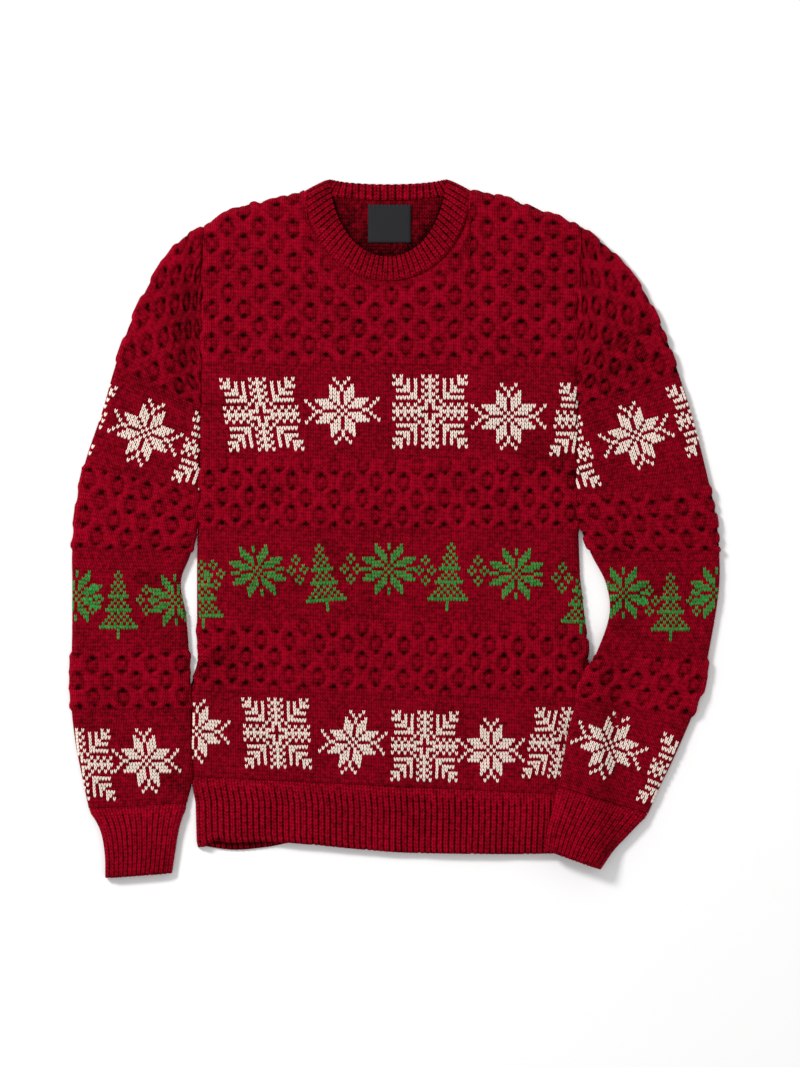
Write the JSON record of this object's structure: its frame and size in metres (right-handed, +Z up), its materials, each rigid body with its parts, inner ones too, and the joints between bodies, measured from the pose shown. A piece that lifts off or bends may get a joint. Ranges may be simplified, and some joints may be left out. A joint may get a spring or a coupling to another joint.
{
  "type": "christmas sweater",
  "caption": "Hand-knit style crew-neck christmas sweater in crimson wool, with honeycomb cables and bands of white snowflakes and green trees, laid flat.",
  "frame": {"origin": "middle of the sweater's outline, on the surface that it lies on", "axes": "+Z up from the surface, +Y towards the collar, +X to the right as seen from above"},
  "size_m": [0.648, 0.6974, 0.0271],
  "materials": {
    "crimson_wool": "matt worsted wool, cabled and ribbed, with white and green stitches worked in",
    "label_cloth": "fine woven satin label, bare"
  },
  "bodies": {
    "root": {"back_panel": "crimson_wool", "back_hem": "crimson_wool", "front_panel": "crimson_wool", "front_hem": "crimson_wool", "sleeve_left": "crimson_wool", "cuff_left": "crimson_wool", "sleeve_right": "crimson_wool", "cuff_right": "crimson_wool", "neckband": "crimson_wool", "neck_label": "label_cloth"}
  },
  "joints": []
}
